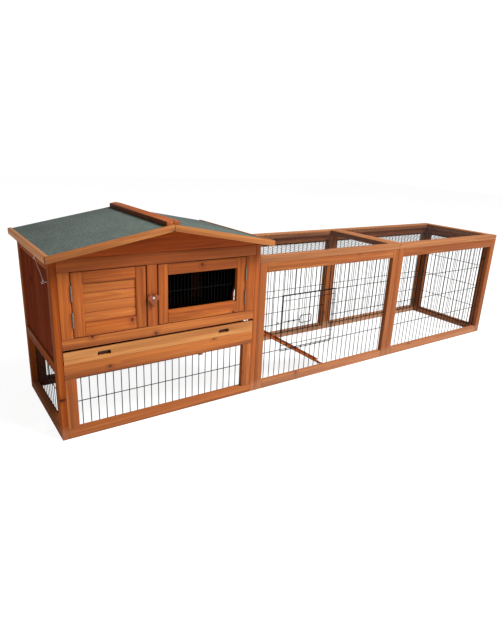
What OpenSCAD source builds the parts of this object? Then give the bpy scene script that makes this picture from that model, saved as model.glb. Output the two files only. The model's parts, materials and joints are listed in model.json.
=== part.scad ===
// Two-storey rabbit hutch with a gabled felt roof and a two-section wire run.
// Sizes are in millimetres. Every piece is drawn from the hutch's front left foot, with X to the right,
// Y to the back and Z up, and placed() then moves it so that the origin lies under the middle of the whole.

/* [Hutch] */
// Width of the hutch over its side walls
hutch_w = 900; // [860:1:1100]
// Depth of the hutch and of the run
hutch_d = 550; // [500:1:700]
// Height of the hutch's walls above the run's side panels
wall_over_run = 86; // [76:1:130]
// Thickness of the wall frames
frame_t = 24; // [20:1:28]
// Width of the stiles and rails
stile_w = 42; // [38:1:46]
// Height of the bottom rails
bottom_rail_h = 41; // [38:1:60]
// Thickness of the boards in the walls
board_t = 10; // [8:1:14]
// Number of boards in each side wall
side_board_count = 5; // [4:1:7]
// Number of boards in the back wall
back_board_count = 8; // [6:1:12]
// Width of the V groove cut on each long edge of a board
board_bevel = 2; // [1:0.5:3]

/* [Front] */
// Width of the post left of the doors
left_post_w = 44; // [38:1:50]
// Width of the post right of the doors
right_post_w = 50; // [38:1:56]
// Width of the stile between the doors
centre_stile_w = 42; // [38:1:48]
// Middle of that stile, from the left side of the hutch
centre_x = 383; // [360:1:430]
// Height of the rail over the doors
top_rail_h = 47; // [40:1:55]
// Height of the top rail of the lower mesh panel
lower_top_rail_h = 59; // [50:1:70]

/* [Doors] */
// Thickness of the doors
door_t = 20; // [18:1:22]
// Width of the door stiles
door_stile_w = 42; // [36:1:48]
// Height of the door's top rail
door_top_rail_h = 46; // [38:1:52]
// Height of the door's bottom rail
door_bottom_rail_h = 52; // [44:1:58]
// Gap round the door, which holds the hinge leaves
door_gap = 2.6; // [2.6:0.1:4]
// Gap between a door and the centre stile
stile_gap = 5; // [5:0.5:7]
// Number of boards in the solid door
door_board_count = 4; // [3:1:5]
// Pitch of the fine wires in the mesh door
door_wire_pitch = 16; // [14:0.5:20]
// Diameter of the fine wires
door_wire_d = 1.6; // [1.4:0.1:2]

/* [Hinges and turn button] */
// Length of a hinge
hinge_l = 60; // [45:1:64]
// Diameter of the hinge barrel
barrel_d = 6; // [5.6:0.2:7]
// Diameter of the hinge pin
pin_d = 3; // [2.8:0.1:3.2]
// Thickness of a hinge leaf
leaf_t = 1; // [0.8:0.1:1.1]
// Reach of a roof or ramp hinge's leaf from its pin
leaf_w = 22; // [18:1:26]
// Running clearance round a hinge pin
pin_clearance = 0.05; // [0.02:0.01:0.08]
// Width of the heart-shaped turn button
button_w = 49; // [40:1:49]
// Height of the turn button
button_h = 50; // [44:1:56]
// Thickness of the turn button
button_t = 12; // [8:1:14]
// Diameter of the turn button's screw
screw_d = 4.4; // [4:0.1:5]
// Diameter of the screw's head
screw_head_d = 9; // [8:0.5:10]

/* [Tray] */
// Level of the tray's runners above the ground
tray_level = 313; // [305:1:325]
// Height of the slot that the tray slides through
tray_slot_h = 59; // [55:1:62]
// Height of the tray's wooden front
tray_front_h = 49; // [44:1:52]
// Thickness of the tray's wooden front
tray_front_t = 14; // [12:1:18]
// Clearance at each end of the tray's front
tray_side_gap = 2; // [1.5:0.5:4]
// Height of the metal pan
pan_h = 28; // [22:1:34]
// Thickness of the pan's sheet
pan_t = 1.2; // [1:0.1:1.6]
// Length of a finger slot
slot_l = 54; // [44:1:64]
// Height of a finger slot
slot_h = 18; // [14:1:20]
// Distance of a finger slot from the middle of the hutch
slot_offset = 270; // [200:1:320]
// Width and height of the tray's runners
runner_w = 18; // [16:1:20]

/* [Roof] */
// Pitch of the roof in degrees
roof_pitch = 10.5; // [9:0.5:13]
// Overhang of the eaves past the side walls
eave = 25; // [22:1:40]
// Overhang of the roof at the front
front_overhang = 70; // [50:1:90]
// Overhang of the roof at the back
rear_overhang = 40; // [34:1:60]
// Height of the roof's top edge at the eave above the walls
eave_rise = 26; // [26:1:34]
// Thickness of the barge boards and fascias
barge_t = 15; // [12:1:17]
// Height of the barge boards and fascias
barge_h = 25; // [24:1:32]
// Step from the top of the boards down to the felt
felt_drop = 4; // [2:0.5:6]
// Thickness of the felt
felt_t = 2; // [1.5:0.5:3]
// Thickness of the roof deck
deck_t = 12; // [9:1:12]
// Width of each ridge cap board
cap_w = 28; // [22:1:36]
// Thickness of the ridge cap boards
cap_t = 20; // [14:1:24]
// Distance of the cap's end from the roof's back edge
cap_setback = 18; // [5:1:40]
// Thickness of the gable boards
gable_t = 16; // [12:1:18]
// Width of the roof battens
batten_w = 30; // [24:1:36]

/* [Run] */
// Length of one run section
run_l = 930; // [860:1:1100]
// Height of the run's side panels
run_h = 629; // [600:1:640]
// Thickness of the run's top frames
run_top_t = 28; // [22:1:32]
// Height of the top rail of the run's side panels
run_top_rail_h = 46; // [40:1:52]

/* [Wire] */
// Diameter of the panel wires
wire_d = 2.5; // [2.2:0.1:3]
// Pitch of the upright wires
wire_pitch = 32.5; // [30:0.5:36]
// Distance of the first upright wire from the stile in the run's side panels
first_wire = 28; // [14:1:30]
// Distance of the mesh panel's border wires outside its opening
mesh_lap = 10; // [8:1:11]
// Height of the lowest cross wire of the run above the ground
cross_start = 172; // [165:1:190]
// Pitch of the cross wires of the run
cross_pitch = 138; // [130:1:145]
// Height of the cross wire in the lower mesh panels of the hutch
lower_cross_z = 142; // [130:1:180]
// Thickness of the netting over the run
net_t = 1.6; // [1.2:0.1:2]
// Depth of that netting below the top of its frame
net_drop = 4; // [2:1:12]
// Width of a netting cell over its flats
net_cell = 38; // [38:1:46]
// Width of a netting strand
net_strand = 2.4; // [2:0.1:3.2]

/* [Wire door] */
// First upright wire of the door hole, counted from the left
door_first_wire = 3; // [2:1:6]
// Number of mesh cells across the door hole
door_cells = 10; // [8:1:12]
// Overlap of the wire door on the mesh round its hole
wire_door_lap = 5; // [4.5:0.5:7]
// Diameter of the door's frame wire
door_frame_d = 3.6; // [3:0.1:4]
// Distance of the door's inner cross wires from its frame
door_inner_cross = 28; // [22:1:40]
// Diameter of the sliding latch's wire
latch_d = 4; // [3.6:0.1:4.4]
// Travel of the latch
latch_travel = 35; // [28:1:40]
// Length of the latch's handle
handle_l = 72; // [50:1:90]
// Height of the latch's handle
handle_h = 38; // [34:1:50]

/* [Ramp] */
// Length of the ramp board
ramp_l = 584; // [560:1:640]
// Width of the ramp board
ramp_w = 150; // [130:1:170]
// Thickness of the ramp board
ramp_t = 12; // [10:1:16]
// Number of cleats on the ramp
cleat_count = 7; // [4:1:10]
// Height of a cleat
cleat_h = 10; // [6:1:12]
// Width of a cleat
cleat_w = 15; // [12:1:20]
// Height of the ramp's hinge pin above the ground
ramp_hinge_z = 300; // [290:1:302]
// Width of the doorways
doorway_w = 156; // [150:1:190]
// Height of the doorways to the top of their arch
doorway_h = 200; // [180:1:240]

/* [Hooks] */
// Length of a roof hook from its pivot to its tip
hook_l = 124; // [110:1:126]
// Diameter of the hook's wire
hook_d = 2.5; // [2:0.1:3]
// Radius of the rings of the hooks and screw eyes
ring_r = 5; // [4.8:0.1:6]
// Length of a screw eye's shank
eye_shank = 4; // [2:0.5:8]
// Distance of the left hook's pivot from the front of the hutch
left_hook_y = 128; // [120:1:140]
// Distance of the right hook's pivot from the front of the hutch
right_hook_y = 140; // [136:1:150]
// Lean of the left hook from upright in degrees
left_hook_lean = 61; // [50:1:70]
// Lean of the right hook from upright in degrees
right_hook_lean = 78; // [76:1:80]

/* [Hidden] */
$fn = 48;

// Hairline between two pieces of wood that meet in a frame
seam = 0.2;
// Air between two pieces that move past each other
air = 0.3;
// How far welded wires sink into each other, as a share of the wire
weld = 0.8;

wall_h = run_h + wall_over_run;
mid_rail_top = tray_level;
mid_rail_bottom = tray_level - stile_w;
door_rail_bottom = tray_level + tray_slot_h;
door_floor = door_rail_bottom + stile_w;
door_ceiling = wall_h - top_rail_h;
door_z = door_floor + door_gap;
door_h = door_ceiling - door_floor - 2 * door_gap;
left_door_x = frame_t + left_post_w + door_gap;
left_door_w = centre_x - centre_stile_w / 2 - stile_gap - left_door_x;
right_door_x = centre_x + centre_stile_w / 2 + stile_gap;
right_door_end = hutch_w - frame_t - right_post_w - door_gap;
right_door_w = right_door_end - right_door_x;
inner_w = hutch_w - 2 * frame_t;

barrel_r = barrel_d / 2;
// Distance from a hinge pin to the face that the leaves lie on
pin_off = barrel_r + air;
door_hinge_heights = [door_z + 0.28 * door_h, door_z + 0.69 * door_h];
roof_hinge_spots = [0.22 * hutch_w, 0.78 * hutch_w];
button_z = door_floor + 0.48 * (door_ceiling - door_floor);
screw_depth = frame_t - 7;

roof_mid = hutch_w / 2;
roof_tan = tan(roof_pitch);
deck_top = felt_drop + felt_t;
deck_bottom = deck_top + deck_t;
under_deck = deck_bottom + seam;
roof_front = -front_overhang;
roof_back = hutch_d + rear_overhang;
roof_seat = wall_h + air;

// Height of the roof's top line over a place across the hutch
function roof_z(x) = wall_h + eave_rise + (roof_mid + eave - abs(x - roof_mid)) * roof_tan;

run_end = hutch_w + 2 * run_l;
run_total_h = run_h + run_top_t;
run_open_w = run_l - 2 * stile_w;
run_open_h = run_h - bottom_rail_h - run_top_rail_h;
run_cross = [for (i = [0:2]) cross_start + i * cross_pitch - bottom_rail_h];
run_net_w = run_l - 2 * stile_w - 3 * seam;
run_net_d = hutch_d - 2 * stile_w - 2 * seam;
run_net_z = run_total_h - net_drop - net_t;
end_open_w = hutch_d - 2 * frame_t - 2 * stile_w;

hole_left = hutch_w + stile_w + first_wire + door_first_wire * wire_pitch;
hole_right = hole_left + door_cells * wire_pitch;
hole_bottom = cross_start;
hole_top = cross_start + 2 * cross_pitch;
wire_door_y = frame_t - air - door_frame_d / 2;
wire_door_left = hole_left - wire_door_lap;
wire_door_right = hole_right + wire_door_lap;
wire_door_bottom = hole_bottom - wire_door_lap;
wire_door_top = hole_top + wire_door_lap;
latch_z = (wire_door_bottom + wire_door_top) / 2 + 10;
latch_y = wire_door_y - door_frame_d / 2 - latch_d / 2 - wire_d;
guide_r = latch_d / 2 + air + wire_d / 2;
// Distance of the door's ring clips from its corners
ring_inset = 60;

hook_r = hook_d / 2;
hook_x = -eave + barge_t / 2;
fascia_bottom = roof_z(-eave) - barge_h;
// The hook's loop hangs in the upper eye's ring, with air between the two wires
hook_z = fascia_bottom - eye_shank - 2 * ring_r + hook_d + air;
// Length of the hook's bent tip, its distance from the lower eye's ring at rest, and that ring's
// distance from the hook's rod
hook_tip = 9;
tip_gap = 2;
eye_reach = hook_tip + hook_r + tip_gap;

ramp_rest = asin((ramp_hinge_z - air) / norm([ramp_l, pin_off])) + atan(pin_off / ramp_l);
ramp_x = hutch_w + pin_off;
// The doorway to the ramp stands against the front stile, with the ramp's middle before its own
ramp_mid = stile_w + doorway_w / 2;
// Distance of the first and the last cleat from the ramp's ends
cleat_first = 60;
cleat_last = 30;

mid_x = (run_end - eave) / 2;
mid_y = (roof_back + roof_front) / 2;

module placed() {
    translate([-mid_x, -mid_y, 0])
        children();
}

// A stick of timber from one corner, by its three sizes
module stick(corner, size) {
    translate(corner)
        cube(size);
}

// Wall frame of separate sticks in the X-Z plane, with its front face at y = 0.
// Each rail is its lower edge and its height.
module wall_frame(w, h, t, left_w, right_w, rails) {
    stick([0, 0, 0], [left_w, t, h]);
    stick([w - right_w, 0, 0], [right_w, t, h]);
    for (rail = rails)
        stick([left_w + seam, 0, rail[0]], [w - left_w - right_w - 2 * seam, t, rail[1]]);
}

// Row of upright boards side by side, each with bevelled front edges
module board_row(w, h, count, t) {
    pitch = w / count;
    board_w = pitch - seam;
    for (i = [0:count - 1])
        translate([i * pitch + seam / 2, 0, 0])
            linear_extrude(h)
                polygon([
                    [board_bevel, 0], [board_w - board_bevel, 0], [board_w, board_bevel],
                    [board_w, t], [0, t], [0, board_bevel]
                ]);
}

// Welded wire panel over an opening of w by h, behind a frame whose back face is y = 0.
// cross lists the cross wires' heights, and first is the first upright's place, or 0 to centre them.
// hole is [first wire, last wire, bottom, top] of a hole cut in it.
module welded_mesh(w, h, cross, first = 0, d = wire_d, pitch = wire_pitch, lap = mesh_lap, hole = []) {
    start = first > 0 ? first : (w - floor(w / pitch - 0.5) * pitch) / 2;
    count = floor((w - start) / pitch);
    cut = len(hole) > 0;
    uprights = [for (i = [0:count]) start + i * pitch];
    y_up = d / 2 + air / 2;
    y_cross = y_up + d * weld;
    for (i = [0:count])
        if (cut && i > hole[0] && i < hole[1]) {
            upright(uprights[i], y_up, -lap, hole[2], d);
            upright(uprights[i], y_up, hole[3], h + lap, d);
        } else {
            upright(uprights[i], y_up, -lap, h + lap, d);
        }
    for (x = [-lap + d / 2, w + lap - d / 2])
        upright(x, y_up, -lap, h + lap, d);
    for (z = cross)
        if (cut && z > hole[2] && z < hole[3]) {
            crosswire(-lap, uprights[hole[0]] + d / 2, y_cross, z, d);
            crosswire(uprights[hole[1]] - d / 2, w + lap, y_cross, z, d);
        } else {
            crosswire(-lap, w + lap, y_cross, z, d);
        }
    for (z = [-lap + d, h + lap - d])
        crosswire(-lap, w + lap, y_cross, z, d);
}

module upright(x, y, from, to, d) {
    translate([x, y, from])
        cylinder(d = d, h = to - from);
}

module crosswire(from, to, y, z, d) {
    translate([from, y, z])
        rotate([0, 90, 0])
            cylinder(d = d, h = to - from);
}

// Flat netting of six-sided cells over w by d, lying on z = 0
module netting(w, d) {
    row = net_cell * sqrt(3) / 2;
    cell_r = (net_cell - net_strand) / sqrt(3);
    columns = floor((w - net_strand) / net_cell - 0.5);
    rows = floor((d - net_strand - net_cell * 0.16) / row);
    x0 = (w - (columns - 0.5) * net_cell) / 2;
    y0 = (d - (rows - 1) * row) / 2;
    linear_extrude(net_t)
        difference() {
            square([w, d]);
            for (j = [0:rows - 1])
                for (i = [0:columns - 1])
                    translate([x0 + (i + (j % 2) * 0.5) * net_cell, y0 + j * row])
                        rotate(30)
                            circle(r = cell_r, $fn = 6);
        }
}

// Butt hinge halves. The pin lies on Z through the origin. A leaf starts at the barrel and runs
// along +X, with its outer face air past the barrel. Half 1 has the middle knuckle, half 0 the end ones.
module knuckle(from, to) {
    translate([0, 0, from])
        cylinder(d = barrel_d, h = to - from);
}

function knuckle_z(i) = -hinge_l / 2 + i * hinge_l / 3;

module leaf_plate(reach, from, to, start) {
    translate([start, barrel_r + air - leaf_t, from])
        cube([reach - start, leaf_t, to - from]);
}

module pin_half(reach) {
    knuckle(knuckle_z(0), knuckle_z(1) - air);
    knuckle(knuckle_z(2) + air, knuckle_z(3));
    knuckle_pin();
    leaf_plate(reach, knuckle_z(0), knuckle_z(1) - air, 0);
    leaf_plate(reach, knuckle_z(2) + air, knuckle_z(3), 0);
    leaf_plate(reach, knuckle_z(0), knuckle_z(3), barrel_r + air);
}

module knuckle_pin() {
    translate([0, 0, knuckle_z(0)])
        cylinder(d = pin_d, h = hinge_l);
}

module eye_half(reach) {
    difference() {
        union() {
            knuckle(knuckle_z(1), knuckle_z(2));
            leaf_plate(reach, knuckle_z(1), knuckle_z(2), 0);
        }
        translate([0, 0, knuckle_z(1) - 1])
            cylinder(d = pin_d + 2 * pin_clearance, h = hinge_l / 3 + 2);
    }
    leaf_plate(reach, knuckle_z(0), knuckle_z(3), barrel_r + air);
}

// Narrow hinge halves whose leaves run side by side into a gap, along +Y
module gap_pin_half(side, reach) {
    knuckle(knuckle_z(0), knuckle_z(1) - air);
    knuckle(knuckle_z(2) + air, knuckle_z(3));
    knuckle_pin();
    for (z = [[knuckle_z(0), knuckle_z(1) - air], [knuckle_z(2) + air, knuckle_z(3)]])
        gap_leaf(side, reach, z[0], z[1], pin_d / 2);
    gap_leaf(side, reach, knuckle_z(0), knuckle_z(3), pin_off);
}

module gap_eye_half(side, reach) {
    difference() {
        union() {
            knuckle(knuckle_z(1), knuckle_z(2));
            gap_leaf(side, reach, knuckle_z(1), knuckle_z(2), pin_d / 2 + pin_clearance);
        }
        translate([0, 0, knuckle_z(1) - 1])
            cylinder(d = pin_d + 2 * pin_clearance, h = hinge_l / 3 + 2);
    }
    gap_leaf(side, reach, knuckle_z(0), knuckle_z(3), pin_off);
}

module gap_leaf(side, reach, from, to, start) {
    inner = door_gap / 2 - leaf_t;
    translate([side > 0 ? inner : -inner - leaf_t, start, from])
        cube([leaf_t, reach - start, to - from]);
}

// Doorway with a round head, cut from y = from on for deep, standing on z = 0
module doorway(deep) {
    translate([0, deep, 0])
        rotate([90, 0, 0])
            linear_extrude(deep) {
                translate([-doorway_w / 2, 0])
                    square([doorway_w, doorway_h - doorway_w / 2]);
                translate([0, doorway_h - doorway_w / 2])
                    circle(d = doorway_w);
            }
}

// Sheet that follows one slope of the roof, between two depths under its top line.
// side is -1 for the left slope and 1 for the right; edge is its outer end from the ridge.
module slope_sheet(side, edge, top, bottom, from, to, start = 0) {
    x = roof_mid + side * edge;
    inner = roof_mid + side * start;
    translate([0, to, 0])
        rotate([90, 0, 0])
            linear_extrude(to - from)
                polygon([
                    [x, roof_z(x) - top], [inner, roof_z(inner) - top],
                    [inner, roof_z(inner) - bottom], [x, roof_z(x) - bottom]
                ]);
}

// Upright board across the hutch whose top follows the roof, from y = from to y = to
module roof_profile(x0, x1, bottom, depth, from, to) {
    peak = x0 < roof_mid && x1 > roof_mid ? [[roof_mid, roof_z(roof_mid) - depth]] : [];
    translate([0, to, 0])
        rotate([90, 0, 0])
            linear_extrude(to - from)
                polygon(concat(
                    [[x0, bottom], [x1, bottom], [x1, roof_z(x1) - depth]],
                    peak,
                    [[x0, roof_z(x0) - depth]]
                ));
}

module ring(radius, d) {
    rotate_extrude()
        translate([radius, 0])
            circle(d = d, $fn = 24);
}

// Side walls

module left_side_frame() {
    color("saddlebrown")
        side_frame([[0, bottom_rail_h]]);
}

module side_frame(bottom) {
    rails = concat(bottom, [[mid_rail_bottom, stile_w], [wall_h - stile_w, stile_w]]);
    translate([frame_t, 0, 0])
        rotate([0, 0, 90])
            wall_frame(hutch_d, wall_h, frame_t, stile_w, stile_w, rails);
}

module side_boards() {
    translate([(frame_t + board_t) / 2, stile_w, mid_rail_top])
        rotate([0, 0, 90])
            board_row(hutch_d - 2 * stile_w, wall_h - stile_w - mid_rail_top, side_board_count, board_t);
}

module left_side_boards() {
    color("sienna")
        translate([frame_t, 0, 0])
            mirror([1, 0, 0])
                side_boards();
}

module left_side_mesh() {
    color("dimgray")
        translate([frame_t, stile_w, bottom_rail_h])
            mirror([1, 0, 0])
                rotate([0, 0, 90])
                    welded_mesh(
                        hutch_d - 2 * stile_w, mid_rail_bottom - bottom_rail_h,
                        [lower_cross_z - bottom_rail_h]
                    );
}

// This side has no bottom rail, so that the lower storey opens into the run at ground level
module right_side_frame() {
    color("saddlebrown")
        translate([hutch_w - frame_t, 0, 0])
            side_frame([]);
}

module right_side_boards() {
    color("sienna")
        difference() {
            translate([hutch_w - frame_t, 0, 0])
                side_boards();
            translate([hutch_w - frame_t - 1, ramp_mid, mid_rail_top - 1])
                rotate([0, 0, -90])
                    doorway(frame_t + 2);
        }
}

// Back wall

module back_frame() {
    rails = [
        [0, bottom_rail_h], [mid_rail_bottom, stile_w], [door_ceiling, top_rail_h]
    ];
    color("saddlebrown")
        translate([frame_t, hutch_d - frame_t, 0])
            wall_frame(inner_w, wall_h, frame_t, stile_w, stile_w, rails);
}

module back_boards() {
    color("sienna")
        translate([hutch_w - frame_t - stile_w, hutch_d - (frame_t - board_t) / 2, mid_rail_top])
            rotate([0, 0, 180])
                board_row(inner_w - 2 * stile_w, door_ceiling - mid_rail_top, back_board_count, board_t);
}

module back_mesh() {
    color("dimgray")
        translate([hutch_w - frame_t - stile_w, hutch_d - frame_t, bottom_rail_h])
            rotate([0, 0, 180])
                welded_mesh(
                    inner_w - 2 * stile_w, mid_rail_bottom - bottom_rail_h,
                    [lower_cross_z - bottom_rail_h]
                );
}

// Front wall

module front_posts() {
    color("peru") {
        stick([frame_t, 0, door_floor], [left_post_w, frame_t, door_ceiling - door_floor]);
        stick(
            [hutch_w - frame_t - right_post_w, 0, door_floor],
            [right_post_w, frame_t, door_ceiling - door_floor]
        );
    }
}

module centre_stile() {
    color("peru")
        difference() {
            stick(
                [centre_x - centre_stile_w / 2, 0, door_floor],
                [centre_stile_w, frame_t, door_ceiling - door_floor]
            );
            translate([centre_x, -1, button_z])
                rotate([-90, 0, 0])
                    cylinder(d = screw_d + 2 * pin_clearance, h = screw_depth + 1);
        }
}

module front_top_rail() {
    color("peru")
        stick([frame_t, 0, door_ceiling], [inner_w, frame_t, top_rail_h]);
}

module front_mid_rail() {
    color("peru")
        stick([frame_t, 0, door_rail_bottom], [inner_w, frame_t, stile_w]);
}

module lower_front_frame() {
    stile_h = tray_level - lower_top_rail_h - bottom_rail_h - 2 * seam;
    color("peru") {
        stick([frame_t, 0, 0], [inner_w, frame_t, bottom_rail_h]);
        stick([frame_t, 0, tray_level - lower_top_rail_h], [inner_w, frame_t, lower_top_rail_h]);
        stick([frame_t, 0, bottom_rail_h + seam], [left_post_w, frame_t, stile_h]);
        stick([hutch_w - frame_t - right_post_w, 0, bottom_rail_h + seam], [right_post_w, frame_t, stile_h]);
    }
}

module lower_front_mesh() {
    color("dimgray")
        translate([frame_t + left_post_w, frame_t, bottom_rail_h])
            welded_mesh(
                inner_w - left_post_w - right_post_w,
                tray_level - lower_top_rail_h - bottom_rail_h,
                [lower_cross_z - bottom_rail_h]
            );
}

// Inside

module inner_divider() {
    bottom = door_rail_bottom - 6;
    color("sienna")
        difference() {
            stick(
                [centre_x - board_t / 2, frame_t, bottom],
                [board_t, hutch_d - 2 * frame_t, wall_h - 3 - bottom]
            );
            translate([centre_x - board_t / 2 - 1, hutch_d / 2, bottom - 1])
                rotate([0, 0, -90])
                    doorway(board_t + 2);
        }
}

module tray_runners() {
    color("sienna")
        for (x = [frame_t, hutch_w - frame_t - runner_w])
            stick([x, frame_t, tray_level - runner_w], [runner_w, hutch_d - 2 * frame_t, runner_w]);
}

// Hinge halves on fixed timber

module roof_hinge_lower_leaves() {
    color("silver")
        for (x = roof_hinge_spots)
            roof_hinge_place(x)
                mirror([1, 0, 0])
                    pin_half(leaf_w);
}

// Hinge frame at the back parting line: the pin along X, the leaves' plane on the back faces
module roof_hinge_place(x) {
    translate([x, hutch_d + pin_off, wall_h + air / 2])
        rotate([0, 90, 0])
            rotate([0, 0, 180])
                children();
}

module roof_hinge_upper_leaves() {
    color("silver")
        for (x = roof_hinge_spots)
            roof_hinge_place(x)
                eye_half(leaf_w);
}

module door_hinge_post_leaves() {
    color("silver")
        for (z = door_hinge_heights) {
            translate([left_door_x - door_gap / 2, -pin_off, z])
                gap_pin_half(-1, pin_off + door_t);
            translate([right_door_end + door_gap / 2, -pin_off, z])
                gap_pin_half(1, pin_off + door_t);
        }
}

module left_door_hinge_leaves() {
    color("silver")
        for (z = door_hinge_heights)
            translate([left_door_x - door_gap / 2, -pin_off, z])
                gap_eye_half(1, pin_off + door_t);
}

module right_door_hinge_leaves() {
    color("silver")
        for (z = door_hinge_heights)
            translate([right_door_end + door_gap / 2, -pin_off, z])
                gap_eye_half(-1, pin_off + door_t);
}

// Ramp hinge frame: the pin along Y at the wall's outer face
module ramp_hinge_place(y) {
    translate([ramp_x, y, ramp_hinge_z])
        rotate([90, 0, 0])
            children();
}

ramp_hinge_spots = [for (side = [-1, 1]) ramp_mid + side * (ramp_w / 2 - hinge_l / 2 - 5)];

module ramp_hinge_wall_leaves() {
    color("silver")
        for (y = ramp_hinge_spots)
            ramp_hinge_place(y)
                rotate([0, 0, 90])
                    mirror([1, 0, 0])
                        pin_half(leaf_w);
}

module ramp_hinge_leaves() {
    color("silver")
        for (y = ramp_hinge_spots)
            ramp_hinge_place(y)
                rotate([0, 0, -ramp_rest])
                    eye_half(leaf_w + pin_off);
}

// Doors

module door_frame(w) {
    rails = [
        [0, door_bottom_rail_h], [door_h - door_top_rail_h, door_top_rail_h]
    ];
    wall_frame(w, door_h, door_t, door_stile_w, door_stile_w, rails);
}

module left_door_frame() {
    color("peru")
        translate([left_door_x, 0, door_z])
            door_frame(left_door_w);
}

module left_door_boards() {
    panel_h = door_h - door_top_rail_h - door_bottom_rail_h;
    color("chocolate")
        translate([left_door_x + door_stile_w, (door_t - board_t) / 2, door_z + door_h - door_top_rail_h])
            rotate([0, 90, 0])
                board_row(panel_h, left_door_w - 2 * door_stile_w, door_board_count, board_t);
}

module right_door_frame() {
    color("peru")
        translate([right_door_x, 0, door_z])
            door_frame(right_door_w);
}

module right_door_mesh() {
    panel_h = door_h - door_top_rail_h - door_bottom_rail_h;
    color("dimgray")
        translate([right_door_x + door_stile_w, door_t, door_z + door_bottom_rail_h])
            welded_mesh(
                right_door_w - 2 * door_stile_w, panel_h, [panel_h / 2], 0,
                door_wire_d, door_wire_pitch, 8
            );
}

module heart() {
    lobe = button_w * 0.26;
    cx = button_w / 2 - lobe;
    tip = button_h - lobe;
    reach = norm([cx, tip]);
    // Angle of the line from the lobe's middle to the point where the straight side touches it
    turn = acos(lobe / reach) - atan(tip / cx);
    touch = [cx + lobe * cos(turn), lobe * sin(turn)];
    for (side = [-1, 1])
        translate([side * cx, 0])
            circle(r = lobe);
    polygon([[0, -tip], touch, [cx, 0], [-cx, 0], [-touch[0], touch[1]]]);
}

module turn_button() {
    color("sienna")
        translate([centre_x, -air, button_z])
            rotate([90, 0, 0])
                difference() {
                    linear_extrude(button_t)
                        heart();
                    translate([0, 0, -1])
                        cylinder(d = screw_d + 2 * pin_clearance, h = button_t + 2);
                }
}

module turn_button_screw() {
    head_y = -button_t - 2 * air;
    color("silver")
        translate([centre_x, head_y, button_z])
            rotate([-90, 0, 0]) {
                cylinder(d = screw_d, h = screw_depth - head_y);
                translate([0, 0, -1.2])
                    cylinder(d = screw_head_d, h = 1.2);
                translate([0, 0, -2.2])
                    cylinder(d1 = screw_head_d * 0.6, d2 = screw_head_d, h = 1);
            }
}

// Tray

module tray_front() {
    color("burlywood")
        difference() {
            stick(
                [frame_t + tray_side_gap, 0, tray_level + air],
                [inner_w - 2 * tray_side_gap, tray_front_t, tray_front_h]
            );
            for (side = [-1, 1])
                translate([roof_mid + side * slot_offset, 0, tray_level + air + tray_front_h / 2])
                    finger_slot();
        }
}

module finger_slot() {
    translate([0, tray_front_t + 1, 0])
        rotate([90, 0, 0])
            linear_extrude(tray_front_t + 2) {
                square([slot_l - slot_h, slot_h], center = true);
                for (side = [-1, 1])
                    translate([side * (slot_l - slot_h) / 2, 0])
                        circle(d = slot_h);
            }
}

module tray_pan() {
    side_gap = tray_side_gap + 2;
    pan_w = inner_w - 2 * side_gap;
    pan_d = hutch_d - frame_t - 10 - tray_front_t;
    color("lightgray")
        translate([frame_t + side_gap, tray_front_t, tray_level + air])
            difference() {
                cube([pan_w, pan_d, pan_h]);
                translate([pan_t, pan_t, pan_t])
                    cube([pan_w - 2 * pan_t, pan_d - 2 * pan_t, pan_h]);
            }
}

// Roof

module roof_decks() {
    color("burlywood")
        for (side = [-1, 1])
            slope_sheet(
                side, roof_mid + eave - barge_t - seam / 2, deck_top + seam, deck_bottom,
                roof_front + barge_t, roof_back - barge_t, seam / 2
            );
}

module roof_felt() {
    color("slategray")
        for (side = [-1, 1])
            slope_sheet(side, roof_mid + eave - barge_t, felt_drop, deck_top, roof_front + barge_t, roof_back);
}

module ridge_cap() {
    color("coral")
        for (side = [-1, 1])
            slope_sheet(
                side, cap_w, felt_drop - cap_t, felt_drop - seam, roof_front + barge_t, roof_back - cap_setback,
                seam / 2
            );
}

module front_barge_boards() {
    color("peru")
        for (side = [-1, 1])
            slope_sheet(side, roof_mid + eave, 0, barge_h, roof_front, roof_front + barge_t, seam / 2);
}

module rear_barge_boards() {
    color("peru")
        for (side = [-1, 1])
            slope_sheet(
                side, roof_mid + eave - barge_t - seam / 2, deck_top + seam, deck_top + barge_h,
                roof_back - barge_t, roof_back, seam / 2
            );
}

module eave_fascias() {
    color("peru")
        for (x = [-eave, hutch_w + eave - barge_t])
            roof_profile(x, x + barge_t, fascia_bottom, 0, roof_front + barge_t, roof_back);
}

module gable_boards() {
    color("sienna") {
        roof_profile(0, hutch_w, roof_seat, under_deck, 0, gable_t);
        roof_profile(0, hutch_w, roof_seat, under_deck, hutch_d - gable_t, hutch_d);
    }
}

module roof_battens() {
    from = gable_t;
    to = hutch_d - gable_t;
    half = batten_w / 2;
    color("saddlebrown") {
        roof_profile(0, frame_t, roof_seat, under_deck, from, to);
        roof_profile(hutch_w - frame_t, hutch_w, roof_seat, under_deck, from, to);
        roof_profile(
            roof_mid - half, roof_mid + half, roof_z(roof_mid) - under_deck - batten_w, under_deck, from, to
        );
        for (side = [-1, 1])
            roof_profile(
                roof_mid + side * roof_mid / 2 - half, roof_mid + side * roof_mid / 2 + half,
                roof_z(roof_mid / 2) - under_deck - batten_w, under_deck, from, to
            );
    }
}

// Hooks and screw eyes. Side -1 is the left of the hutch and 1 the right.

module at_hook(side, y) {
    translate([roof_mid + side * (roof_mid - hook_x), y, hook_z])
        children();
}

// Upper eye: a ring across the hook's loop, on a shank into the fascia
module upper_eye(side, y) {
    at_hook(side, y)
        translate([0, 0, ring_r - hook_d - air]) {
            rotate([0, 90, 0])
                ring(ring_r, hook_d);
            translate([0, 0, ring_r])
                cylinder(d = hook_d, h = eye_shank);
        }
}

module roof_screw_eyes() {
    color("silver") {
        upper_eye(-1, left_hook_y);
        upper_eye(1, right_hook_y);
    }
}

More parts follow.
